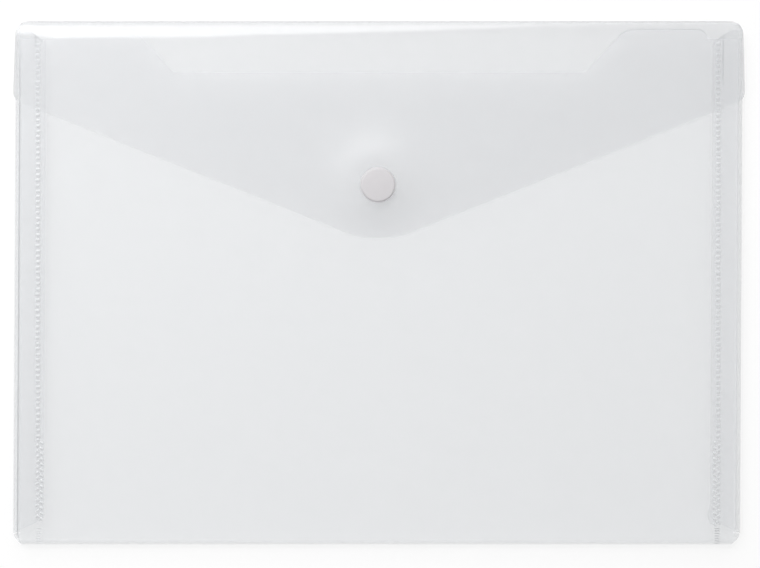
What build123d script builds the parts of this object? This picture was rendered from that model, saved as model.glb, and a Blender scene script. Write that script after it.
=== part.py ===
from build123d import *
import math
import os

# Document wallet for A4 paper, folded from one sheet of plastic film, lying on its back.
# X runs across it, Y up towards the flap's fold and Z out of the table.
# The origin is under the middle of the wallet, on the table. Sizes are in millimetres.

# Film and pocket
film = 0.3                      # thickness of the sheet
body_width = 335.0              # over the two side folds
body_height = 241.0             # from the spine's outer face to the bottom fold
pocket_depth = 5.0              # clear height between the back panel and the side tabs
weld_height = 0.1               # height of the fused plastic between a tab and the front panel
crease_gap = 0.05               # air on each side of a crease that turns
relief = 0.5                    # notch where a side fold ends

# Back panel
top_corner_radius = 6.0         # corners beside the spine
bottom_ear_inset = 0.6          # cut edge of the bottom corners, in from the side fold
bottom_ear_radius = 4.2

# Side tabs, which fold in from the back panel
tab_width = 14.3                # side fold to the tab's free edge
tab_top_drop = 4.2              # spine to the top end of the side fold
tab_top_mitre = 5.8             # how much lower the tab's free edge starts
tab_top_land = 6.0              # straight stretch of the top end, before the mitre
tab_bottom_rise = 5.4           # bottom fold to the lower end of the side fold
tab_bottom_mitre = 4.0          # how much higher the free edge ends
tab_bottom_land = 5.5           # straight stretch of the lower end, beside the free edge
tab_corner_radius = 2.0

# Front panel
front_inset = 2.2               # cut side edge, in from the side fold
front_corner_radius = 3.4       # corners at the bottom fold
front_top_drop = 3.7            # spine to the front panel's top edge
shoulder_inset = 16.8           # side fold to the step in the top edge
shoulder_drop = 4.6             # depth of that step, over the end of the tab
shoulder_radius = 4.2
thumb_top_width = 226.2         # thumb cut, between its slanted sides at the top edge
thumb_bottom_width = 189.2
thumb_depth = 20.0
thumb_lip_radius = 7.5          # outward corners of the cut
thumb_root_radius = 2.0         # inward corners of the cut

# Flap and its spine
spine_end_inset = 6.0           # spine's end, in from the side fold
flap_overhang = 0.6             # flap's side edge, out from the side fold
flap_side_length = 36.3         # fold to the corner of the flap's side edge
flap_length = 103.1             # fold to the point where the slanted edges would meet
flap_shoulder_radius = 6.0
flap_tip_radius = 38.0
flap_rest_gap = 0.45            # flap over the front panel, at the fold

# Seam welds
weld_inset = 11.2               # side fold to the middle of the row of welds
weld_pitch = 2.5
weld_length = 2.0               # each weld across the tab
weld_width = 1.25               # each weld along the tab
weld_end_margin = 1.2           # from the ends of the tab's free edge

# Press stud
stud_drop = 75.5                # fold to the middle of the stud
cap_radius = 8.0                # the cap that shows on the flap
cap_height = 1.6
cap_dome = 0.3                  # rise of its face in the middle
cap_edge_radius = 1.1
cap_post_radius = 1.8
cap_rivet_radius = 2.3          # swaged end of the cap's post, inside the socket
rivet_height = 0.25
socket_flange_radius = 6.5
socket_flange_height = 0.75
socket_hub_radius = 4.4
socket_cavity_radius = 2.9
socket_cavity_height = 1.0
socket_lip_radius = 2.45
socket_lip_height = 0.4
male_flange_radius = 6.0
male_flange_height = 0.8
male_neck_radius = 2.1
male_bulb_radius = 2.6          # larger than the socket's lip, so that it snaps in
male_bulb_height = 0.6
male_bulb_land = 0.1            # straight stretch round the bulb's widest part
inner_cap_radius = 6.5          # the cap inside the pocket
inner_cap_height = 0.8
inner_cap_edge = 0.4            # bevel round it
inner_post_radius = 1.2
inner_rivet_radius = 1.65
post_clearance = 0.05           # post in the bore of the piece that it holds
punch_clearance = 0.25          # post in the hole punched through the film
seat_clearance = 0.05           # socket under the bowed flap
stud_clearance = 0.1            # between the two closed halves of the stud
edge_break = 0.2                # small moulded bevel

# Heights of the layers, upwards from the table
tab_bottom = film + pocket_depth
tab_top = tab_bottom + film
front_bottom = tab_top + weld_height
front_top = front_bottom + film
male_top = front_top + male_flange_height
socket_bottom = male_top + stud_clearance
cavity_bottom = socket_bottom + socket_lip_height
bulb_top = cavity_bottom + male_bulb_height
cavity_top = cavity_bottom + socket_cavity_height
socket_top = cavity_top + socket_flange_height
flap_bottom = socket_top + seat_clearance
flap_top = flap_bottom + film
cap_top = flap_top + cap_height
tall = 2 * cap_top              # taller than every layer

# Places on the plan
top_y = body_height / 2
bottom_y = -body_height / 2
side_x = body_width / 2
crease_y = top_y - film / 2
panel_end_y = crease_y - film / 2 - crease_gap
stud_y = top_y - stud_drop
tab_radius = tab_top / 2
fold_radius = front_top / 2
lower_crease_z = film / 2
upper_crease_z = front_top + flap_rest_gap + film / 2
tab_fold_top_y = top_y - tab_top_drop
tab_fold_bottom_y = bottom_y + tab_bottom_rise
tab_edge_top_y = tab_fold_top_y - tab_top_mitre
tab_edge_bottom_y = tab_fold_bottom_y + tab_bottom_mitre
tab_edge_x = side_x - tab_width
front_edge_x = side_x - front_inset
ear_x = side_x - bottom_ear_inset
front_top_y = top_y - front_top_drop
stud_axis = Axis((0, stud_y, 0), (0, 0, 1))


def near(a, b):
    """True where two lengths are the same but for rounding."""
    return math.isclose(a, b, abs_tol=1e-4)


def mirrored_outline(right_points):
    """Face whose right half has these points, listed from the top to the bottom."""
    left_points = [(-x, y) for x, y in reversed(right_points) if not near(x, 0)]
    return make_face(Polyline(*right_points, *left_points, close=True))


def round_pair(face, x, y, radius):
    """Round the corner at (x, y) and its mirror image."""
    corners = [v for v in face.vertices() if near(abs(v.X), x) and near(v.Y, y)]
    return fillet(corners, radius)


def plate(face, low, high):
    """Sheet with this plan between two heights."""
    return extrude(Pos(0, 0, low) * face, high - low, dir=(0, 0, 1))


def above(y):
    """The half of the plan from y upwards."""
    return Pos(0, y + body_height) * Rectangle(2 * body_width, 2 * body_height)


def drill(solid, radius):
    """Punch the hole for a stud's post through a sheet."""
    return solid - Pos(0, stud_y, 0) * Cylinder(radius, tall)


def corners_at(profile, x, y):
    """The corner of a profile at (x, y)."""
    return [v for v in profile.vertices() if near(v.X, x) and near(v.Y, y)]


def turned(profile):
    """Solid of revolution about the stud's axis, from a face in radius and height."""
    upright = Pos(0, stud_y, 0) * Rot(X=90) * profile
    return revolve(upright, stud_axis)


def half_roll(radius):
    """Section of a film folded back on itself: half a ring that opens towards -X."""
    ring = Circle(radius) - Circle(radius - film)
    return ring & Pos(radius, 0) * Rectangle(2 * radius, 4 * radius)


def back_plan():
    """Outline of the back panel and the bottom fold under it, with rounded ears."""
    plan = mirrored_outline([(side_x, panel_end_y), (side_x, 0), (ear_x, 0), (ear_x, bottom_y)])
    plan = round_pair(plan, side_x, panel_end_y, top_corner_radius)
    return round_pair(plan, ear_x, bottom_y, bottom_ear_radius)


def make_back_panel():
    """Flat back, cut away along the stretches where the side tabs fold up."""
    plan = back_plan()
    fold_length = tab_fold_top_y - tab_fold_bottom_y + 2 * relief
    fold_middle_y = (tab_fold_top_y + tab_fold_bottom_y) / 2
    for side in (-1, 1):
        plan -= Pos(side * side_x, fold_middle_y) * Rectangle(2 * tab_radius, fold_length)
    return plate(plan & above(bottom_y + fold_radius), 0, film)


def front_plan():
    """Outline of the front panel and the bottom fold's upper half, with the thumb cut."""
    shoulder_x = side_x - shoulder_inset
    shoulder_y = front_top_y - shoulder_drop
    thumb_x = thumb_top_width / 2
    root_x = thumb_bottom_width / 2
    root_y = front_top_y - thumb_depth
    plan = mirrored_outline([
        (root_x, root_y),
        (thumb_x, front_top_y),
        (shoulder_x, front_top_y),
        (shoulder_x, shoulder_y),
        (front_edge_x, shoulder_y),
        (front_edge_x, bottom_y),
    ])
    plan = round_pair(plan, root_x, root_y, thumb_root_radius)
    plan = round_pair(plan, thumb_x, front_top_y, thumb_lip_radius)
    plan = round_pair(plan, shoulder_x, front_top_y, shoulder_radius)
    return round_pair(plan, front_edge_x, bottom_y, front_corner_radius)


def make_front_panel():
    """Flat front with the thumb cut and the hole for the stud."""
    panel = plate(front_plan() & above(bottom_y + fold_radius), front_bottom, front_top)
    return drill(panel, inner_post_radius + punch_clearance)


def make_bottom_fold():
    """Rolled fold that joins the wider back panel to the front panel."""
    section = Plane.YZ * Pos(bottom_y + fold_radius, fold_radius) * Rot(Z=180) * half_roll(fold_radius)
    roll = extrude(section, body_width, both=True)
    return roll & (plate(back_plan(), 0, fold_radius) + plate(front_plan(), fold_radius, tall))


def make_right_tab():
    """Tab that rolls up from the back panel and lies under the front panel."""
    roll = Pos(side_x - tab_radius, tab_radius) * half_roll(tab_radius)
    strip_width = tab_width - tab_radius
    strip = Pos(tab_edge_x + strip_width / 2, tab_top - film / 2) * Rectangle(strip_width, film)
    section = Plane.XZ * (roll + strip)
    plan = make_face(Polyline(
        (side_x, tab_fold_top_y),
        (side_x - tab_top_land, tab_fold_top_y),
        (tab_edge_x, tab_edge_top_y),
        (tab_edge_x, tab_edge_bottom_y),
        (tab_edge_x + tab_bottom_land, tab_edge_bottom_y),
        (side_x, tab_fold_bottom_y),
        close=True,
    ))
    free_edge = [v for v in plan.vertices() if near(v.X, tab_edge_x)]
    plan = fillet(free_edge, tab_corner_radius)
    return extrude(section, body_height, both=True) & plate(plan, 0, tall)


def make_right_welds():
    """Row of small welds between the tab and the front panel."""
    low = tab_edge_bottom_y + weld_end_margin
    high = tab_edge_top_y - weld_end_margin
    count = int((high - low) / weld_pitch) + 1
    middle = Pos(side_x - weld_inset, (low + high) / 2, tab_top + weld_height / 2)
    pad = Box(weld_length, weld_width, weld_height)
    return [middle * place * pad for place in GridLocations(0, weld_pitch, 1, count)]


def make_flap_spine():
    """Narrow strip between the two creases, rounded where it turns."""
    height = upper_crease_z - lower_crease_z
    section = SlotCenterToCenter(height, film, rotation=90)
    middle = Pos(crease_y, (lower_crease_z + upper_crease_z) / 2)
    return extrude(Plane.YZ * middle * section, side_x - spine_end_inset, both=True)


def make_flap():
    """Pointed flap, bowed so that it passes over the closed stud."""
    flap_x = side_x + flap_overhang
    corner_y = top_y - flap_side_length
    tip_y = top_y - flap_length
    plan = mirrored_outline([(flap_x, panel_end_y), (flap_x, corner_y), (0, tip_y)])
    plan = round_pair(plan, flap_x, panel_end_y, top_corner_radius)
    plan = round_pair(plan, flap_x, corner_y, flap_shoulder_radius)
    plan = round_pair(plan, 0, tip_y, flap_tip_radius)

    rise = flap_bottom - (upper_crease_z - film / 2)
    reach = crease_y - stud_y
    bow_radius = (reach ** 2 + rise ** 2) / (2 * rise)
    bow = Cylinder(bow_radius + film, 2 * flap_x) - Cylinder(bow_radius, 2 * flap_x)
    bow = Pos(0, stud_y, flap_bottom - bow_radius) * Rot(Y=90) * bow
    return drill(bow & plate(plan, 0, tall), cap_post_radius + punch_clearance)


def make_flap_stud_cap():
    """Round domed cap on the flap, with the post that holds the socket."""
    face_z = cap_top - cap_dome
    rivet_z = cavity_top - rivet_height
    dome = TangentArc((0, cap_top), (cap_radius, face_z), tangent=(1, 0))
    rest = Polyline(
        (cap_radius, face_z),
        (cap_radius, flap_top),
        (cap_post_radius, flap_top),
        (cap_post_radius, cavity_top),
        (cap_rivet_radius, cavity_top),
        (cap_rivet_radius, rivet_z),
        (0, rivet_z),
        (0, cap_top),
    )
    profile = make_face([dome, rest])
    profile = fillet(corners_at(profile, cap_radius, face_z), cap_edge_radius)
    profile = chamfer(corners_at(profile, cap_radius, flap_top), edge_break)
    return turned(profile)


def make_flap_stud_socket():
    """Socket under the flap: a flange, a hub and a lip that holds the bulb."""
    bore = cap_post_radius + post_clearance
    profile = make_face(Polyline(
        (bore, socket_top),
        (socket_flange_radius, socket_top),
        (socket_flange_radius, cavity_top),
        (socket_hub_radius, cavity_top),
        (socket_hub_radius, socket_bottom),
        (socket_lip_radius, socket_bottom),
        (socket_lip_radius, cavity_bottom),
        (socket_cavity_radius, cavity_bottom),
        (socket_cavity_radius, cavity_top),
        (bore, cavity_top),
        close=True,
    ))
    profile = chamfer(corners_at(profile, socket_hub_radius, socket_bottom), edge_break)
    profile = chamfer(corners_at(profile, socket_flange_radius, cavity_top), edge_break)
    return turned(profile)


def make_pocket_stud():
    """Stud on the front panel, with the bulb that snaps into the socket."""
    bore = inner_post_radius + post_clearance
    recess = inner_rivet_radius + post_clearance
    widest_z = (cavity_bottom + bulb_top) / 2
    profile = make_face(Polyline(
        (bore, front_top),
        (male_flange_radius, front_top),
        (male_flange_radius, male_top),
        (male_neck_radius, male_top),
        (male_neck_radius, cavity_bottom),
        (male_bulb_radius, widest_z - male_bulb_land / 2),
        (male_bulb_radius, widest_z + male_bulb_land / 2),
        (male_neck_radius, bulb_top),
        (recess, bulb_top),
        (recess, bulb_top - rivet_height),
        (bore, bulb_top - rivet_height),
        close=True,
    ))
    return turned(chamfer(corners_at(profile, male_flange_radius, male_top), edge_break))


def make_pocket_stud_cap():
    """Cap inside the pocket, with the post that holds the stud."""
    low = front_bottom - inner_cap_height
    rivet_z = bulb_top - rivet_height
    profile = make_face(Polyline(
        (0, bulb_top),
        (inner_rivet_radius, bulb_top),
        (inner_rivet_radius, rivet_z),
        (inner_post_radius, rivet_z),
        (inner_post_radius, front_bottom),
        (inner_cap_radius, front_bottom),
        (inner_cap_radius, low),
        (0, low),
        close=True,
    ))
    return turned(chamfer(corners_at(profile, inner_cap_radius, low), inner_cap_edge))


def mirror_across(solids):
    """The same solids on the left side."""
    return [mirror(solid, about=Plane.YZ) for solid in solids]


right_tab = make_right_tab()
right_welds = make_right_welds()

nodes = {
    "back_panel": make_back_panel(),
    "front_panel": make_front_panel(),
    "bottom_fold": make_bottom_fold(),
    "right_side_tab": right_tab,
    "left_side_tab": mirror(right_tab, about=Plane.YZ),
    "right_seam_welds": Compound(right_welds),
    "left_seam_welds": Compound(mirror_across(right_welds)),
    "flap_spine": make_flap_spine(),
    "flap": make_flap(),
    "flap_stud_cap": make_flap_stud_cap(),
    "flap_stud_socket": make_flap_stud_socket(),
    "pocket_stud": make_pocket_stud(),
    "pocket_stud_cap": make_pocket_stud_cap(),
}

os.makedirs("parts", exist_ok=True)
for name, shape in nodes.items():
    export_step(shape, f"parts/{name}.step")
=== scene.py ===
import math
import random

import bmesh
import bpy
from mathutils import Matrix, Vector


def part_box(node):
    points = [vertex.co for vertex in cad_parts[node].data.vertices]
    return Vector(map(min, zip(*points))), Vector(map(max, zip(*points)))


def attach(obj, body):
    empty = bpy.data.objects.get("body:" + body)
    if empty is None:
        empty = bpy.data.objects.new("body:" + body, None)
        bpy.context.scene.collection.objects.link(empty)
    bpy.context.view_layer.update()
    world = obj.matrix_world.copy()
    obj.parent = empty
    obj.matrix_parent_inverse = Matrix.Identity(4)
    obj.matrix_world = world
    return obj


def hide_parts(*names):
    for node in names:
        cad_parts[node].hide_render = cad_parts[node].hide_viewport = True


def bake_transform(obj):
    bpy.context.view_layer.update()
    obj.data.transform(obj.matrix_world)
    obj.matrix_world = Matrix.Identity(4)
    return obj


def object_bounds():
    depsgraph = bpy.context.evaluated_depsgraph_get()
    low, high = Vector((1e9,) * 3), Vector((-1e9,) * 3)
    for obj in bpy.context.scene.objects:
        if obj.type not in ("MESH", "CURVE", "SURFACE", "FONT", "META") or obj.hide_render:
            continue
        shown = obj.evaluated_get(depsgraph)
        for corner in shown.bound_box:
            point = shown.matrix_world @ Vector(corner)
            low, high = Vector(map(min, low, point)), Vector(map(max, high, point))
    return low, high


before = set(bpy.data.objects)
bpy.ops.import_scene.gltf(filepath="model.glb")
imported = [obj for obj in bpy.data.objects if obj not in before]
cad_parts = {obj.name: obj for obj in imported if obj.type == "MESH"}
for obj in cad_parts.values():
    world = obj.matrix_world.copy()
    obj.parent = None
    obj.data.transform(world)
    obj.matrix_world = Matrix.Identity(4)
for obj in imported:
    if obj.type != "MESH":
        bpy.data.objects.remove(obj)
cad_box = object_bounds()
scene = bpy.context.scene
MM = 0.001

# The photograph's frame, in its own pixels, and where the wallet lies in it
PHOTO_WIDTH_PX = 760
PHOTO_HEIGHT_PX = 568
BODY_WIDTH_PX = 727.0
MIDDLE_X_PX = 378.0
MIDDLE_Y_PX = 283.0
CAMERA_HEIGHT = 1.15
SENSOR_WIDTH = 36.0

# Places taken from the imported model
BACK_LOW, BACK_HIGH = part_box("back_panel")
FRONT_LOW, FRONT_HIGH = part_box("front_panel")
FOLD_LOW, FOLD_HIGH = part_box("bottom_fold")
TAB_LOW, TAB_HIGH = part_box("right_side_tab")
FLAP_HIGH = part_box("flap")[1]
SPINE_LOW, SPINE_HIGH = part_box("flap_spine")
CAP_LOW, CAP_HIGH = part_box("flap_stud_cap")
WELD_LOW, WELD_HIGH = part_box("right_seam_welds")
FILM = FRONT_HIGH.z - FRONT_LOW.z
SIDE_X = TAB_HIGH.x
BACK_Z = (BACK_LOW.z + BACK_HIGH.z) / 2
FRONT_Z = (FRONT_LOW.z + FRONT_HIGH.z) / 2
TAB_Z = TAB_HIGH.z - FILM / 2
TAB_ROLL = (TAB_Z - BACK_Z) / 2             # radius of the side folds, in the film's middle
FRONT_ROLL = (FRONT_Z - BACK_Z) / 2         # radius of the bottom fold
TAB_ROLL_X = SIDE_X - FILM / 2 - TAB_ROLL   # where the side folds start to turn
CREASE_Y = (SPINE_LOW.y + SPINE_HIGH.y) / 2
SPINE_Z = (SPINE_LOW.z + SPINE_HIGH.z) / 2
CREST_Z = FLAP_HIGH.z - FILM / 2
STUD_Y = (CAP_LOW.y + CAP_HIGH.y) / 2

# Plan of the front
SHOULDER_X = SIDE_X - 16.8 * MM
SHOULDER_Y = FRONT_HIGH.y - 4.6 * MM
SHOULDER_ROUND = 4.2 * MM
THUMB_TOP_X = 113.1 * MM
THUMB_ROOT_X = 94.6 * MM
THUMB_ROOT_Y = FRONT_HIGH.y - 20.0 * MM
THUMB_LIP_ROUND = 3.3 * MM
THUMB_ROOT_ROUND = 0.9 * MM

# Plan of the side tabs
TAB_LAND_X = SIDE_X - 6.0 * MM
TAB_TOP_MITRE = 5.8 * MM
TAB_FOOT_LAND = 5.5 * MM                    # level stretch of the right tab's lower end
RIGHT_FOOT_MITRE = 4.0 * MM
LEFT_FOOT_MITRE = 6.6 * MM
TAB_CORNER_ROUND = 1.2 * MM
TAB_FUSED_X = TAB_LOW.x + 4.9 * MM          # the weld has pressed the tab clear up to here

# Plan of the flap and of the back
FLAP_SHOULDER_Y = FLAP_HIGH.y - 35.95 * MM
FLAP_POINT_Y = FLAP_HIGH.y - 102.75 * MM
FLAP_SHOULDER_ROUND = 3.6 * MM
FLAP_TIP_ROUND = 14.9 * MM
TOP_CORNER_ROUND = 6.0 * MM
EAR_X = SIDE_X + 0.3 * MM
EAR_Y = TAB_LOW.y - 0.5 * MM
EAR_ROUND = 6.0 * MM

# Shape of the folds and the lie of the flap
LOWER_FOLD_REACH = 3.1 * MM                 # how far the back curls up before the spine
UPPER_FOLD_REACH = 1.8 * MM                 # tight part of the flap's curl
FLAP_BEND_SLOPE = 0.16                      # of the strip between the fold and the flap's bend
FLAP_BEND_SOFT = 1.2 * MM                   # over this stretch the bend eases
FLAP_BEND = (                               # x and distance from the fold to the bend, in mm
    (-160, 6.6), (-154, 8.7), (-82, 8.5), (-57, 7.4), (-22, 6.7), (24, 5.5), (79, 3.4),
)
FLAP_FOLD_GAP = 1.3 * MM                    # flap over the front, beside the fold
FLAP_LEAST_GAP = 0.2 * MM
FLAP_WELD_GAP = 0.3 * MM                    # over the seam welds
TENT_FLAT = 7.5 * MM                        # level part of the flap, round the stud
TENT_REACH = 14.0 * MM                      # how fast the flap falls away from there
TENT_LEAN = 3.0 * MM                        # slower towards the fold, faster towards the tip
FLAP_TAPER = 1.2 * MM                       # how much narrower each side is at the fold
FRONT_WAVE = 0.12 * MM                      # how far the front waves up and down
FRONT_WAVE_X = 41 * MM                      # a wave's length over two pi
FRONT_WAVE_Y = 33 * MM
LEAN = 0.0054                               # how far the sides lean to the right per unit of height
TAB_BULGE = 1.1 * MM                        # swelling of the right tab's lower corner
TAB_BULGE_RISE = 4.5 * MM
TAB_BULGE_SPREAD = 3.2 * MM
TAB_PUCKER = 16.0 * MM                      # length of a crease beside the top of the right seam, drawn only as a line of painted shade

# Spacing of the sheets' points
BACK_GRID = 24 * MM
FRONT_GRID = 16 * MM
TAB_GRID = 20 * MM
FLAP_GRID = 6 * MM
TENT_GRID = 2.5 * MM
ROLL_STEPS = 14                             # round the side folds and the bottom fold

# Seam welds
WELD_PITCH = 2.5 * MM
WELD_HEIGHT = 0.16 * MM
WELD_LIFT = 0.3 * WELD_HEIGHT               # middle of a bar over the front
WELD_BAR_LENGTH = 2.0 * MM                  # across the seam
WELD_BAR_WIDTH = 1.7 * MM
WELD_RIDGE = (0.82, 0.12, 1)                # the ridge's share of the bar's foot
WELD_BEVEL = 0.06 * MM
WELD_JITTER = 0.15                          # in mm
WELD_X = (WELD_LOW.x + WELD_HIGH.x) / 2
FIRST_WELD_RISE = 0.6 * MM                  # of the top bar's middle over the CAD row
FOOT_WELD_PITCH = 1.15 * MM
FOOT_WELD_COUNT = 7
ROUGH_WELD_Y = -72.0 * MM                   # below this the welds run in two broken rows

# Shades of edges and creases, partly the film's own density and partly painted shade: 1 looks densest
# and darkest, and below 0 they carry a painted highlight
RIM = 0.8 * MM                              # width of the band along a cut edge
FRONT_SIDE_SHADES = (0.9, 0.3)              # painted shadow along the front's cut side edges, heavier at the left; left and right
CUT_SHADE = 0.12                            # of the front's top edge and thumb cut
FRONT_TOP_SHADE = 0.4                       # added towards the right of the top edge
CREASE_SHADE = 1.0
TAB_TOP_SHADE = 0.3                         # of the tabs where they stand clear of the front
TAB_FUSED_SHADE = 0.1
TAB_FOOT_SHADE = 0.15
TAB_EDGE_SHADE = 0.05
FOLD_LINE_SHADE = 0.9
FLAP_SIDE_SHADES = ((0.4, 0.32), (0.45, 0.25))  # the film's dense cut edge and painted shade, heavier at the left where the light is stronger; edge and strip beside it, left and right
# below 0: a painted highlight along the flap's slanted cut edges
FLAP_EDGE_HIGHLIGHT = -0.15
ROLL_SHEER = 0.65                           # how much clearer the bottom fold is: painted light, so that its turned-away edge reads lighter

# Finishes
FILM_COLOURS = ((0.862, 0.876, 0.894), (0.882, 0.895, 0.91))
FILM_DENSITY = 0.238
WELD_DENSITY = 0.4
CLOUD_DENSITY = 0.02                        # how much the film's density varies
# colour and opacity that the rim adds: the film's own density and painted shade
DENSITY_AND_SHADE_COLOUR = (0.40, 0.41, 0.42, 1)
DENSITY_AND_SHADE_OPACITY = 0.45
# colour and opacity where the rim is below 0: a painted highlight
PAINTED_HIGHLIGHT_COLOUR = (0.93, 0.94, 0.95, 1)
PAINTED_HIGHLIGHT_OPACITY = 0.3
GLOSS_ROUGHNESS = 0.2
GLOSS_SHARE = 0.024                         # seen face on
GLOSS_GRAZING_SHARE = 0.05                  # added as the view grazes the film
FLAP_SHADOW_TONE = 0.775                           # painted shadow: the flap's film is drawn greyer in place of the shadow it no longer casts on the film under it
STUD_COLOURS = ((0.588, 0.572, 0.588, 1), (0.618, 0.602, 0.616, 1))
TABLE_COLOUR = (0.95, 0.95, 0.95, 1)
TABLE_SIZE = 12
TABLE_GAP = 0.05 * MM

# Light
FLOOR_GLOW = 0.675
SURROUND_GLOW = 0.62
LAMPS = (                                   # name, place, point that it faces, size and power
    ("key_softbox", (-0.15, 2.4, 1.3), (0, 0, 0), (3.0, 0.8), 23.0),
    ("glare_strip", (-0.3, 0.57, 1.1), (-0.27, 0.05, 0), (1.0, 0.16), 3.8),
    ("left_wash", (-0.5, 0.42, 0.72), (-0.15, 0, 0), (0.4, 0.6), 2.1),
)


class Value:
    """A socket in a material; arithmetic on it adds Math nodes."""

    def __init__(self, finish, socket):
        self.finish = finish
        self.socket = socket

    def _math(self, operation, first, second):
        return self.finish.node("ShaderNodeMath", {0: first, 1: second}, operation=operation)

    def __add__(self, other):
        return self._math("ADD", self, other)

    def __sub__(self, other):
        return self._math("SUBTRACT", self, other)

    def __rsub__(self, other):
        return self._math("SUBTRACT", other, self)

    def __mul__(self, other):
        return self._math("MULTIPLY", self, other)

    def __pow__(self, other):
        return self._math("POWER", self, other)

    def at_least(self, other):
        """The larger of two values."""
        return self._math("MAXIMUM", self, other)

    __radd__ = __add__
    __rmul__ = __mul__


class Finish:
    """A material under construction."""

    def __init__(self, name):
        self.material = bpy.data.materials.new(name)
        self.material.use_nodes = True
        self.tree = self.material.node_tree
        self.shader = self.tree.nodes["Principled BSDF"]
        self.output = self.tree.nodes["Material Output"]
        self.place = self.node("ShaderNodeTexCoord", output="Object")

    def node(self, kind, inputs=None, output=0, **settings):
        """Add a node, set it up, feed it and hand back one of its outputs."""
        made = self.tree.nodes.new(kind)
        for key, setting in settings.items():
            setattr(made, key, setting)
        for key, value in (inputs or {}).items():
            self.feed(made.inputs[key], value)
        return Value(self, made.outputs[output])

    def feed(self, socket, value):
        """Link a value to a socket, or set the socket to a constant."""
        if isinstance(value, Value):
            self.tree.links.new(value.socket, socket)
        else:
            socket.default_value = value

    def set(self, **sockets):
        """Feed sockets of the main shader, with underscores for spaces."""
        for key, value in sockets.items():
            self.feed(self.shader.inputs[key.replace("_", " ")], value)

    def noise(self, scale, detail=2.0):
        """Noise between 0 and 1 at a scale in features per metre."""
        inputs = {"Vector": self.place, "Scale": scale, "Detail": detail}
        return self.node("ShaderNodeTexNoise", inputs)

    def attribute(self, name):
        """A value that the mesh carries."""
        return self.node("ShaderNodeAttribute", output="Fac", attribute_name=name)

    def mix(self, factor, first, second):
        """Colour between two colours."""
        inputs = {0: factor, 6: first, 7: second}
        return self.node("ShaderNodeMix", inputs, output=2, data_type="RGBA")

    def bump(self, height, strength, distance):
        """Surface direction with fine relief from a height."""
        inputs = {"Height": height, "Strength": strength, "Distance": distance}
        return self.node("ShaderNodeBump", inputs)

    def cover(self, factor, shader):
        """Lay another shader over what the surface has so far."""
        under = Value(self, self.output.inputs["Surface"].links[0].from_socket)
        both = self.node("ShaderNodeMixShader", {0: factor, 1: under, 2: shader})
        self.feed(self.output.inputs["Surface"], both)


def film_finish(name, density=FILM_DENSITY, tone=1.0):
    """Frosted film: the attribute rim makes it denser and darker, as its own density and as painted
    shade, and below 0 gives it a painted highlight; sheer makes it clearer.
    """
    finish = Finish(name)
    rim = finish.attribute("rim")
    shade = rim.at_least(0.0)
    gleam = (0.0 - rim).at_least(0.0)
    cloud = finish.noise(20.0, 3.0)
    grain = finish.noise(2600.0, 1.0)
    relief = finish.bump(grain, 0.05, 0.05 * MM)
    dim, clear = ((red * tone, green * tone, blue * tone, 1) for red, green, blue in FILM_COLOURS)
    body = finish.mix(cloud, dim, clear)
    edged = finish.mix(shade, body, DENSITY_AND_SHADE_COLOUR)
    plain = (density + CLOUD_DENSITY * (cloud - 0.5)) * (1.0 - finish.attribute("sheer"))
    finish.set(
        Base_Color=finish.mix(gleam, edged, PAINTED_HIGHLIGHT_COLOUR),
        Alpha=plain + DENSITY_AND_SHADE_OPACITY * shade + PAINTED_HIGHLIGHT_OPACITY * gleam,
        Roughness=0.42 + 0.08 * grain,
        Specular_IOR_Level=0.2,
        Normal=relief,
    )
    facing = finish.node("ShaderNodeLayerWeight", {"Blend": 0.5}, output="Facing")
    gloss = finish.node("ShaderNodeBsdfGlossy", {"Roughness": GLOSS_ROUGHNESS, "Normal": relief})
    finish.cover(GLOSS_SHARE + GLOSS_GRAZING_SHARE * facing ** 5.0, gloss)
    return finish.material


def stud_finish():
    """Opaque moulded plastic of the press stud."""
    finish = Finish("moulded_stud")
    cloud = finish.noise(240.0, 2.0)
    grain = finish.noise(3000.0, 2.0)
    finish.set(
        Base_Color=finish.mix(cloud, *STUD_COLOURS),
        Roughness=0.36 + 0.1 * grain,
        Normal=finish.bump(grain, 0.08, 0.04 * MM),
    )
    return finish.material


def table_finish():
    """White table, which the camera sees partly by its own glow."""
    finish = Finish("white_table")
    finish.set(Base_Color=TABLE_COLOUR, Roughness=0.9, Specular_IOR_Level=0.0)
    path = finish.tree.nodes.new("ShaderNodeLightPath")
    kinds = ("Is Camera Ray", "Is Glossy Ray", "Is Transmission Ray")
    seen, mirrored, through = (Value(finish, path.outputs[kind]) for kind in kinds)
    glow = finish.node("ShaderNodeEmission")
    finish.cover(FLOOR_GLOW * (seen + mirrored + through), glow)
    return finish.material


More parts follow.
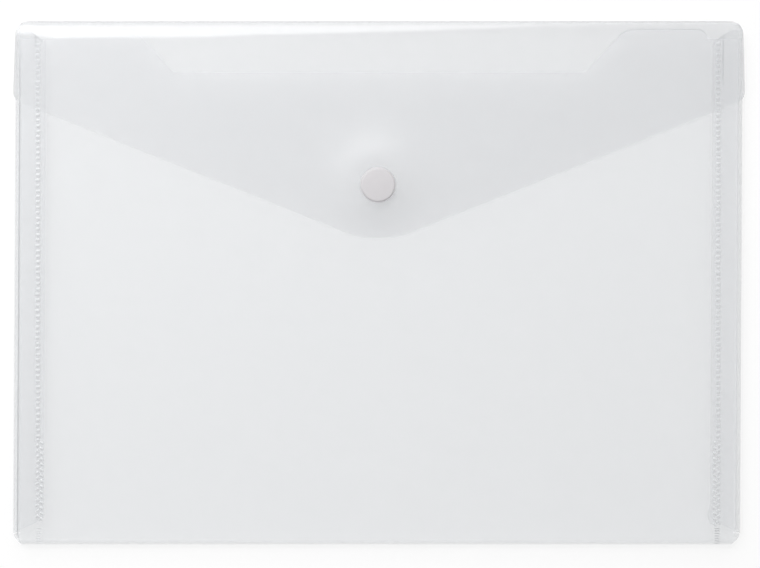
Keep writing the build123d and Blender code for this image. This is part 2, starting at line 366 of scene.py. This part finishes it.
class Sheet:
    """A piece of film: a plane that is cut, rounded and curled in edit mode."""

    def __init__(self, name, left, right, bottom, top):
        bpy.ops.object.select_all(action="DESELECT")
        middle = ((left + right) / 2, (bottom + top) / 2, 0)
        bpy.ops.mesh.primitive_plane_add(size=1, location=middle)
        self.piece = bpy.context.object
        self.piece.name = name
        self.piece.scale = (right - left, top - bottom, 1)
        bpy.ops.object.transform_apply(location=True, rotation=True, scale=True)
        bpy.ops.object.mode_set(mode="EDIT")

    def mesh(self):
        """The mesh as it is in edit mode."""
        return bmesh.from_edit_mesh(self.piece.data)

    def cut(self, x, y, across, along):
        """Divide the faces along the line through (x, y) that runs in a direction."""
        bpy.ops.mesh.select_all(action="SELECT")
        normal = Vector((-along, across, 0)).normalized()
        bpy.ops.mesh.bisect(plane_co=(x, y, 0), plane_no=normal)

    def trim(self, test):
        """Cut away the faces whose middle passes a test, and heal the cuts in the rest."""
        bpy.ops.mesh.select_mode(type="FACE")
        bpy.ops.mesh.select_all(action="DESELECT")
        for face in self.mesh().faces:
            middle = face.calc_center_median()
            face.select_set(test(middle.x, middle.y))
        bpy.ops.mesh.delete(type="FACE")
        bpy.ops.mesh.select_all(action="SELECT")
        bpy.ops.mesh.dissolve_limited(angle_limit=math.radians(0.5))

    def round_corner(self, x, y, reach, segments=8):
        """Round the corner at (x, y), from this far along each of its edges."""
        bpy.ops.mesh.select_mode(type="VERT")
        bpy.ops.mesh.select_all(action="DESELECT")
        corner = min(self.mesh().verts, key=lambda v: (v.co - Vector((x, y, 0))).length)
        corner.select_set(True)
        bpy.ops.mesh.bevel(offset=reach, segments=segments, profile=0.5, affect="VERTICES")

    def edge_band(self, width):
        """Set off a narrow band inside the outline."""
        bpy.ops.mesh.select_mode(type="FACE")
        bpy.ops.mesh.select_all(action="SELECT")
        bpy.ops.mesh.inset(thickness=width)

    def rule(self, columns=(), rows=()):
        """Divide the sheet along these x and y."""
        for x in columns:
            self.cut(x, 0, 0, 1)
        for y in rows:
            self.cut(0, y, 1, 0)

    def mark(self, name, shade):
        """Give each point a value of the film, from its place and whether it is cut."""
        mesh = self.mesh()
        layer = mesh.verts.layers.float.new(name)
        for vert in mesh.verts:
            vert[layer] = shade(vert.co.x, vert.co.y, vert.is_boundary)
        bmesh.update_edit_mesh(self.piece.data)

    def curl(self, place):
        """Move each point of the flat plan to its place in the leaning wallet."""
        for vert in self.mesh().verts:
            x, y, z = place(vert.co.x, vert.co.y)
            vert.co = (x + LEAN * y, y, z)
        bmesh.update_edit_mesh(self.piece.data)

    def flip(self):
        """Turn the faces over."""
        bpy.ops.mesh.select_all(action="SELECT")
        bpy.ops.mesh.flip_normals()

    def finish(self, material):
        """Give the film its thickness and its finish."""
        bpy.ops.object.mode_set(mode="OBJECT")
        thick = self.piece.modifiers.new("film", "SOLIDIFY")
        thick.thickness = FILM
        thick.offset = 0.0
        thick.use_even_offset = True
        self.piece.data.materials.append(material)
        bpy.ops.object.modifier_apply(modifier=thick.name)
        bpy.ops.object.shade_smooth_by_angle(angle=math.radians(35))
        return self.piece


def steps(first, last, pitch):
    """Evenly spaced values strictly between two ends, about a pitch apart."""
    count = max(1, round(abs(last - first) / pitch))
    return [first + (last - first) * i / count for i in range(1, count)]


def fade(value, start, end):
    """Smooth step from 0 at start to 1 at end."""
    t = min(1.0, max(0.0, (value - start) / (end - start)))
    return t * t * (3 - 2 * t)


def rise_of_arc(share):
    """Height of a quarter round, from 0 at share 0 to 1 where it stands upright at share 1."""
    return 1 - math.sqrt(max(0.0, 1 - min(1.0, share) ** 2))


def ear_inset(y):
    """How far the lower corners have rounded off at this y."""
    into_corner = min(EAR_ROUND, max(0.0, FOLD_LOW.y + EAR_ROUND - y))
    return EAR_ROUND * rise_of_arc(into_corner / EAR_ROUND)


def make_back_sheet():
    """Back panel, which curls up into the lower half of the spine."""
    sheet = Sheet("back_sheet", -SIDE_X, SIDE_X, BACK_LOW.y, CREASE_Y)
    for side in (-1, 1):
        sheet.cut(side * TAB_ROLL_X, 0, 0, 1)
        sheet.cut(side * EAR_X, 0, 0, 1)
    sheet.cut(0, TAB_HIGH.y, 1, 0)
    sheet.cut(0, EAR_Y, 1, 0)

    def cut_away(x, y):
        if y > TAB_HIGH.y:
            return False
        return abs(x) > (EAR_X if y < EAR_Y else TAB_ROLL_X)

    sheet.trim(cut_away)
    for side in (-1, 1):
        sheet.round_corner(side * SIDE_X, CREASE_Y, TOP_CORNER_ROUND)
    curl_start = CREASE_Y - LOWER_FOLD_REACH
    curl_rows = [CREASE_Y - LOWER_FOLD_REACH * (1 - math.sin(math.radians(a))) for a in range(0, 90, 10)]
    rows = steps(BACK_LOW.y, EAR_Y, 0.7 * MM) + steps(EAR_Y, curl_start, BACK_GRID) + curl_rows
    sheet.rule(steps(-SIDE_X, SIDE_X, BACK_GRID), rows)

    def place(x, y):
        share = max(0.0, (y - curl_start) / LOWER_FOLD_REACH)
        if y < EAR_Y:
            ear = EAR_X - ear_inset(y)
            x = min(ear, max(-ear, x))
        return x, y, BACK_Z + (SPINE_Z - BACK_Z) * rise_of_arc(share)

    sheet.curl(place)
    piece = sheet.finish(film)
    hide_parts("back_panel")
    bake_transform(piece)


def make_front_sheet():
    """Front panel with the thumb cut, rolling round the bottom fold to the back."""
    roll_y = FOLD_HIGH.y
    roll_length = math.pi * FRONT_ROLL
    side = FRONT_HIGH.x
    top = FRONT_HIGH.y
    sheet = Sheet("front_sheet", -side, side, roll_y - roll_length, top)
    slant = (THUMB_TOP_X - THUMB_ROOT_X, top - THUMB_ROOT_Y)
    for hand in (-1, 1):
        sheet.cut(hand * THUMB_ROOT_X, THUMB_ROOT_Y, hand * slant[0], slant[1])
        sheet.cut(hand * SHOULDER_X, 0, 0, 1)
    sheet.cut(0, THUMB_ROOT_Y, 1, 0)
    sheet.cut(0, SHOULDER_Y, 1, 0)

    def cut_away(x, y):
        slant_x = THUMB_ROOT_X + (y - THUMB_ROOT_Y) * slant[0] / slant[1]
        in_thumb_cut = y > THUMB_ROOT_Y and abs(x) < slant_x
        return in_thumb_cut or (y > SHOULDER_Y and abs(x) > SHOULDER_X)

    sheet.trim(cut_away)
    for hand in (-1, 1):
        sheet.round_corner(hand * THUMB_ROOT_X, THUMB_ROOT_Y, THUMB_ROOT_ROUND)
        sheet.round_corner(hand * THUMB_TOP_X, top, THUMB_LIP_ROUND)
        sheet.round_corner(hand * SHOULDER_X, top, SHOULDER_ROUND)
    sheet.edge_band(RIM)
    rows = steps(roll_y - roll_length, roll_y, roll_length / ROLL_STEPS) + [roll_y]
    rows += steps(roll_y, roll_y + EAR_ROUND, 0.75 * MM)
    rows += steps(roll_y + EAR_ROUND, top, FRONT_GRID)
    sheet.rule(steps(-side, side, FRONT_GRID), rows)

    def place(x, y):
        if y >= roll_y:
            inside = fade(abs(x), TAB_LOW.x, TAB_LOW.x - 30 * MM) * fade(y, roll_y, roll_y + 30 * MM)
            inside *= fade(y, THUMB_ROOT_Y, THUMB_ROOT_Y - 20 * MM)
            inside *= fade(math.hypot(x, y - STUD_Y), 9 * MM, 30 * MM)
            wave = math.sin(x / FRONT_WAVE_X + 1.1) * math.sin(y / FRONT_WAVE_Y + 0.4)
            return x * (1 - ear_inset(y) / side), y, FRONT_Z + FRONT_WAVE * inside * wave
        turn = (roll_y - y) / FRONT_ROLL
        bottom = FRONT_ROLL * math.sin(turn)
        width = side + (EAR_X - side) * min(1.0, turn / (math.pi / 2)) - ear_inset(roll_y - bottom)
        return x * width / side, roll_y - bottom, BACK_Z + FRONT_ROLL * (1 + math.cos(turn))

    def shade(x, y, cut):
        if not cut or y < roll_y - 2 * MM:
            return 0.0
        # painted shadow along the cut side edges of the front
        if abs(x) > SHOULDER_X + SHOULDER_ROUND and y < SHOULDER_Y - RIM:
            full = FRONT_SIDE_SHADES[0 if x < 0 else 1]
            return full * (0.3 + 0.7 * fade(y, roll_y, roll_y + 3 * MM))
        if y > top - 2 * MM:
            return CUT_SHADE + FRONT_TOP_SHADE * fade(x, -60 * MM, 10 * MM)
        return CUT_SHADE

    def sheer(x, y, cut):
        # painted light: the fold's edge is made clearer so that it reads lighter
        turn = (roll_y - y) / roll_length
        return ROLL_SHEER * fade(turn, 0.15, 0.42) * fade(turn, 0.85, 0.58)

    sheet.mark("rim", shade)
    sheet.mark("sheer", sheer)
    sheet.curl(place)
    piece = sheet.finish(film)
    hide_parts("front_panel", "bottom_fold")
    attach(piece, "pocket")


def make_side_tab(name, node, side, roll_sheer, foot_land, foot_mitre, bulge=0.0, pucker=0.0):
    """Tab that rolls up from the back and lies under the front."""
    roll_length = math.pi * TAB_ROLL
    outer = TAB_ROLL_X + roll_length
    sheet = Sheet(name, TAB_LOW.x, outer, TAB_LOW.y, TAB_HIGH.y)
    top_start_y = TAB_HIGH.y - TAB_TOP_MITRE
    foot_x = TAB_LOW.x + foot_land
    foot_y = TAB_LOW.y + foot_mitre
    sheet.cut(TAB_LOW.x, top_start_y, TAB_LAND_X - TAB_LOW.x, TAB_TOP_MITRE)
    mitre_width = TAB_LAND_X - TAB_LOW.x
    sheet.trim(lambda x, y: (y - top_start_y) * mitre_width > (x - TAB_LOW.x) * TAB_TOP_MITRE)
    sheet.cut(foot_x, foot_y, SIDE_X - foot_x, -foot_mitre)
    sheet.cut(foot_x, foot_y, 1, 0)
    slope = foot_mitre / (SIDE_X - foot_x)
    sheet.trim(lambda x, y: y < foot_y - max(0.0, x - foot_x) * slope)
    sheet.round_corner(TAB_LOW.x, top_start_y, TAB_CORNER_ROUND)
    sheet.round_corner(TAB_LOW.x, foot_y, TAB_CORNER_ROUND)
    sheet.edge_band(RIM)
    columns = [TAB_FUSED_X + step * MM for step in (-0.4, -0.2, 0.2, 0.4)] + [TAB_ROLL_X]
    columns += steps(TAB_ROLL_X, outer, roll_length / ROLL_STEPS)
    rows = steps(TAB_LOW.y, top_start_y, TAB_GRID)
    rows += steps(top_start_y - TAB_GRID, top_start_y, 4 * MM)
    rows += [SHOULDER_Y - 0.1 * MM, SHOULDER_Y + 0.1 * MM]
    sheet.rule(columns, rows + steps(foot_y, foot_y + 14 * MM, 1 * MM))

    def place(x, y):
        if x <= TAB_ROLL_X:
            rise = (y - foot_y - TAB_BULGE_RISE) / TAB_BULGE_SPREAD
            swell = bulge * math.exp(-rise ** 2) * fade(x, TAB_LAND_X, TAB_LOW.x)
            return side * (x - swell), y, TAB_Z
        turn = (x - TAB_ROLL_X) / TAB_ROLL
        out = TAB_ROLL_X + TAB_ROLL * math.sin(turn)
        return side * out, y, BACK_Z + TAB_ROLL * (1 + math.cos(turn))

    def shade(x, y, cut):
        if x > TAB_ROLL_X + 0.5 * MM:
            return 0.0
        # a crease drawn as a line of painted shade
        if not cut and abs(x - TAB_FUSED_X) < 0.25 * MM and y > top_start_y - pucker:
            return CREASE_SHADE
        if not cut and y > SHOULDER_Y:
            return TAB_TOP_SHADE
        if not cut:
            return TAB_FUSED_SHADE if x < TAB_FUSED_X else 0.0
        if y > top_start_y + RIM:
            return CREASE_SHADE if x < TAB_LAND_X - 1 * MM else TAB_TOP_SHADE
        return TAB_FOOT_SHADE if y < foot_y + RIM else TAB_EDGE_SHADE

    def sheer(x, y, cut):
        return roll_sheer if x > TAB_ROLL_X + 0.5 * MM else 0.0

    sheet.mark("rim", shade)
    sheet.mark("sheer", sheer)
    sheet.curl(place)
    if side < 0:
        sheet.flip()
    piece = sheet.finish(film)
    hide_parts(node)
    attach(piece, "pocket")


def flap_bend(x):
    """How far from the fold the flap bends level: far off at the left, close at the right."""
    for (x0, reach0), (x1, reach1) in zip(FLAP_BEND, FLAP_BEND[1:]):
        share = min(1.0, max(0.0, (x / MM - x0) / (x1 - x0)))
        if share < 1:
            break
    return (reach0 + (reach1 - reach0) * share) * MM


def flap_dip(x, distance):
    """How far the flap has dropped, this near to the fold, in the strip beside its bend."""
    inside = max(0.0, flap_bend(x) - distance)
    soft = min(inside, FLAP_BEND_SOFT)
    return FLAP_BEND_SLOPE * (inside - soft + soft ** 2 / (2 * FLAP_BEND_SOFT))


def flap_lie(x, y):
    """Height of the flap's middle: close to the front, with a tent over the stud."""
    towards_fold = max(0.0, (y - STUD_Y) / (CREASE_Y - STUD_Y))
    gap = FLAP_LEAST_GAP + (FLAP_WELD_GAP - FLAP_LEAST_GAP) * fade(abs(x), 120 * MM, 145 * MM)
    low = FRONT_HIGH.z + gap + (FLAP_FOLD_GAP - gap) * towards_fold ** 2
    radius = max(TENT_FLAT, math.hypot(x, y - STUD_Y))
    away = (radius - TENT_FLAT) / (TENT_REACH + TENT_LEAN * (y - STUD_Y) / radius)
    return low + (CREST_Z - low) * math.exp(-away ** 2)


def make_flap_sheet():
    """Pointed flap, with the upper half of the spine curling into it."""
    side = FLAP_HIGH.x
    sheet = Sheet("flap_sheet", -side, side, FLAP_POINT_Y, CREASE_Y)
    for hand in (-1, 1):
        sheet.cut(0, FLAP_POINT_Y, hand * side, FLAP_SHOULDER_Y - FLAP_POINT_Y)
    slope = (FLAP_SHOULDER_Y - FLAP_POINT_Y) / side
    sheet.trim(lambda x, y: y < FLAP_POINT_Y + abs(x) * slope)
    sheet.round_corner(0, FLAP_POINT_Y, FLAP_TIP_ROUND, 16)
    for hand in (-1, 1):
        sheet.round_corner(hand * side, FLAP_SHOULDER_Y, FLAP_SHOULDER_ROUND)
        sheet.round_corner(hand * side, CREASE_Y, TOP_CORNER_ROUND)
    sheet.edge_band(RIM)
    curl_start = CREASE_Y - UPPER_FOLD_REACH
    bend_end = CREASE_Y - 9 * MM
    rows = [CREASE_Y - UPPER_FOLD_REACH * (1 - math.sin(math.radians(a))) for a in range(0, 90, 10)]
    rows += steps(FLAP_POINT_Y, bend_end, FLAP_GRID) + [bend_end]
    rows += steps(bend_end, curl_start, 0.6 * MM)
    rows += steps(STUD_Y - 25 * MM, STUD_Y + 34 * MM, TENT_GRID)
    columns = steps(-side, side, FLAP_GRID) + [-TAB_ROLL_X, TAB_ROLL_X]
    columns += steps(-34 * MM, 34 * MM, TENT_GRID)
    sheet.rule(columns, rows)

    def place(x, y):
        top = flap_lie(x, y) - flap_dip(x, CREASE_Y - y)
        share = max(0.0, (y - curl_start) / UPPER_FOLD_REACH)
        up_side = max(0.0, (y - FLAP_SHOULDER_Y) / (CREASE_Y - FLAP_SHOULDER_Y))
        return x * (1 - FLAP_TAPER / side * up_side), y, top - (top - SPINE_Z) * rise_of_arc(share)

    def shade(x, y, cut):
        if y > CREASE_Y - 0.02 * MM:
            return FOLD_LINE_SHADE
        if abs(x) > TAB_ROLL_X and y > FLAP_SHOULDER_Y:
            edge, strip = FLAP_SIDE_SHADES[0 if x < 0 else 1]
            return edge if cut else strip
        return FLAP_EDGE_HIGHLIGHT if cut else 0.0

    sheet.mark("rim", shade)
    sheet.curl(place)
    piece = sheet.finish(shaded_flap_film)
    # The flap casts no shadow; its greyer film is painted shade in place of it
    piece.visible_shadow = False
    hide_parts("flap", "flap_spine")
    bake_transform(piece)


def make_weld_bar(lower_shade, upper_shade):
    """One weld bar: a low roof that runs across the seam, whose two values paint shade on its lower
    slope and a highlight on its upper one, or give both the same density.
    """
    bpy.ops.object.select_all(action="DESELECT")
    bpy.ops.mesh.primitive_cube_add(size=1, location=(0, 0, 0))
    bar = bpy.context.object
    bar.scale = (WELD_BAR_LENGTH, WELD_BAR_WIDTH, WELD_HEIGHT)
    bpy.ops.object.transform_apply(location=True, rotation=True, scale=True)
    bpy.ops.object.mode_set(mode="EDIT")
    bpy.ops.mesh.select_mode(type="FACE")
    bpy.ops.mesh.select_all(action="DESELECT")
    for face in bmesh.from_edit_mesh(bar.data).faces:
        face.select_set(face.normal.z > 0.9)
    bpy.ops.transform.resize(value=WELD_RIDGE)
    bpy.ops.mesh.select_all(action="SELECT")
    bpy.ops.mesh.bevel(offset=WELD_BEVEL, segments=1, affect="EDGES")
    mesh = bmesh.from_edit_mesh(bar.data)
    layer = mesh.verts.layers.float.new("rim")
    for vert in mesh.verts:
        vert[layer] = lower_shade if vert.co.y < 0 else upper_shade
    bpy.ops.object.mode_set(mode="OBJECT")
    return bar


def weld_places(dice, low_end):
    """Where the bars of one seam lie: x, y, turn, and shares of the full length and width."""
    y = WELD_HIGH.y + FIRST_WELD_RISE
    while y > low_end:
        shift = dice.uniform(-WELD_JITTER, WELD_JITTER) * MM
        if y > ROUGH_WELD_Y:
            yield shift, y + shift, dice.uniform(-4, 4), dice.uniform(0.85, 1.05), 1.0
        else:
            for column in (-1, 1):
                stagger = 0.25 * column * WELD_PITCH
                turn = column * dice.uniform(24, 40)
                yield (column - 0.8) * 0.9 * MM + shift, y + stagger, turn, dice.uniform(0.75, 0.9), 0.8
        y -= WELD_PITCH


def tick_places(dice):
    """Where the fine ticks below a seam lie, in the same way."""
    for i in range(FOOT_WELD_COUNT):
        y = FOLD_LOW.y + 0.9 * MM + i * FOOT_WELD_PITCH
        yield -0.5 * MM, y, dice.uniform(-3, 3), dice.uniform(1.1, 1.3), 0.24


def make_weld_row(name, node, side, seed, covered_shades, shades, tick_shade, low_end):
    """Row of weld bars embossed on the front along a seam, with fine ticks below it."""
    dice = random.Random(seed)
    copies = []
    bars = list(weld_places(dice, low_end))
    for bar, places in (
        (make_weld_bar(*covered_shades), [p for p in bars if p[1] > FLAP_SHOULDER_Y]),
        (make_weld_bar(*shades), [p for p in bars if p[1] <= FLAP_SHOULDER_Y]),
        (make_weld_bar(tick_shade, tick_shade), tick_places(dice)),
    ):
        for x, y, turn, length, width in places:
            copy = bar.copy()
            copy.data = bar.data.copy()
            scene.collection.objects.link(copy)
            copy.location = (side * (WELD_X + x), y, FRONT_HIGH.z + WELD_LIFT)
            copy.rotation_euler.z = math.radians(turn)
            copy.scale = (length, width, 1)
            copies.append(copy)
        bpy.data.objects.remove(bar)
    bpy.ops.object.select_all(action="DESELECT")
    for copy in copies:
        copy.select_set(True)
    bpy.context.view_layer.objects.active = copies[0]
    bpy.ops.object.join()
    piece = bpy.context.object
    piece.name = name
    bpy.ops.object.transform_apply(location=True, rotation=True, scale=True)
    bpy.ops.object.shade_smooth_by_angle(angle=math.radians(40))
    piece.data.materials.append(weld_film)
    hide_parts(node)
    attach(piece, "pocket")


def make_table():
    """Wide white table under the wallet."""
    bpy.ops.object.select_all(action="DESELECT")
    bpy.ops.mesh.primitive_plane_add(size=TABLE_SIZE, location=(0, 0, cad_box[0].z - TABLE_GAP))
    table = bpy.context.object
    table.name = "table"
    table.data.materials.append(table_finish())


def make_camera():
    """Camera straight above, framed as the photograph is."""
    silhouette_z = (TAB_LOW.z + TAB_HIGH.z) / 2
    metres_per_px = 2 * SIDE_X / BODY_WIDTH_PX
    data = bpy.data.cameras.new("camera")
    data.sensor_width = SENSOR_WIDTH
    data.lens = SENSOR_WIDTH * (CAMERA_HEIGHT - silhouette_z) / (PHOTO_WIDTH_PX * metres_per_px)
    camera = bpy.data.objects.new("camera", data)
    right = (PHOTO_WIDTH_PX / 2 - MIDDLE_X_PX) * metres_per_px
    up = (MIDDLE_Y_PX - PHOTO_HEIGHT_PX / 2) * metres_per_px
    camera.location = (right, up, CAMERA_HEIGHT)
    scene.collection.objects.link(camera)
    scene.camera = camera


def add_softbox(name, place, target, size, power):
    """Rectangular lamp that faces a point."""
    data = bpy.data.lights.new(name, "AREA")
    data.shape = "RECTANGLE"
    data.size, data.size_y = size
    data.energy = power
    lamp = bpy.data.objects.new(name, data)
    lamp.location = place
    lamp.rotation_euler = (Vector(target) - Vector(place)).to_track_quat("-Z", "Y").to_euler()
    scene.collection.objects.link(lamp)


def light_scene():
    """Soft light from the upper left, a strip for the glare beside the fold, and a white surround."""
    for lamp in LAMPS:
        add_softbox(*lamp)
    world = bpy.data.worlds.new("surround")
    scene.world = world
    world.use_nodes = True
    tree = world.node_tree
    background = tree.nodes["Background"]
    background.inputs["Color"].default_value = (1, 1, 1, 1)
    path = tree.nodes.new("ShaderNodeLightPath")
    strength = tree.nodes.new("ShaderNodeMapRange")
    strength.inputs["To Min"].default_value = SURROUND_GLOW
    strength.inputs["To Max"].default_value = 1.0
    tree.links.new(path.outputs["Is Camera Ray"], strength.inputs["Value"])
    tree.links.new(strength.outputs["Result"], background.inputs["Strength"])


scene.view_settings.view_transform = "Standard"
scene.cycles.transparent_max_bounces = 32

film = film_finish("frosted_film")
# flap film drawn greyer: painted shade in place of the flap's shadow
shaded_flap_film = film_finish("shaded_flap_film", tone=FLAP_SHADOW_TONE)
weld_film = film_finish("welded_film", density=WELD_DENSITY)
stud = stud_finish()
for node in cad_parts.values():
    node.data.materials.clear()
    node.data.materials.append(stud)
# The cap's own rounded edge has the dark crescent that shows
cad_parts["flap_stud_cap"].visible_shadow = False

make_back_sheet()
make_front_sheet()
# The left roll is drawn denser, painted shade, and the right one clearer, painted light, to even out the
# light from the left
make_side_tab(
    "left_tab_sheet", "left_side_tab", -1,
    roll_sheer=-0.15, foot_land=0.0, foot_mitre=LEFT_FOOT_MITRE,
)
make_side_tab(
    "right_tab_sheet", "right_side_tab", 1,
    roll_sheer=0.25, foot_land=TAB_FOOT_LAND, foot_mitre=RIGHT_FOOT_MITRE,
    bulge=TAB_BULGE, pucker=TAB_PUCKER,
)
# shades and covered_shades paint shade on each bar's lower slope and mostly a highlight on its upper
# one; tick_shade makes the ticks denser
make_weld_row(
    "left_weld_row", "left_seam_welds", -1, seed=4, low_end=TAB_LOW.y + LEFT_FOOT_MITRE,
    covered_shades=(0.2, -0.15), shades=(0.3, -0.4), tick_shade=0.22,
)
make_weld_row(
    "right_weld_row", "right_seam_welds", 1, seed=9, low_end=TAB_LOW.y + RIGHT_FOOT_MITRE,
    covered_shades=(0.3, 0.05), shades=(0.19, -0.15), tick_shade=0.6,
)
make_flap_sheet()

make_table()
make_camera()
light_scene()
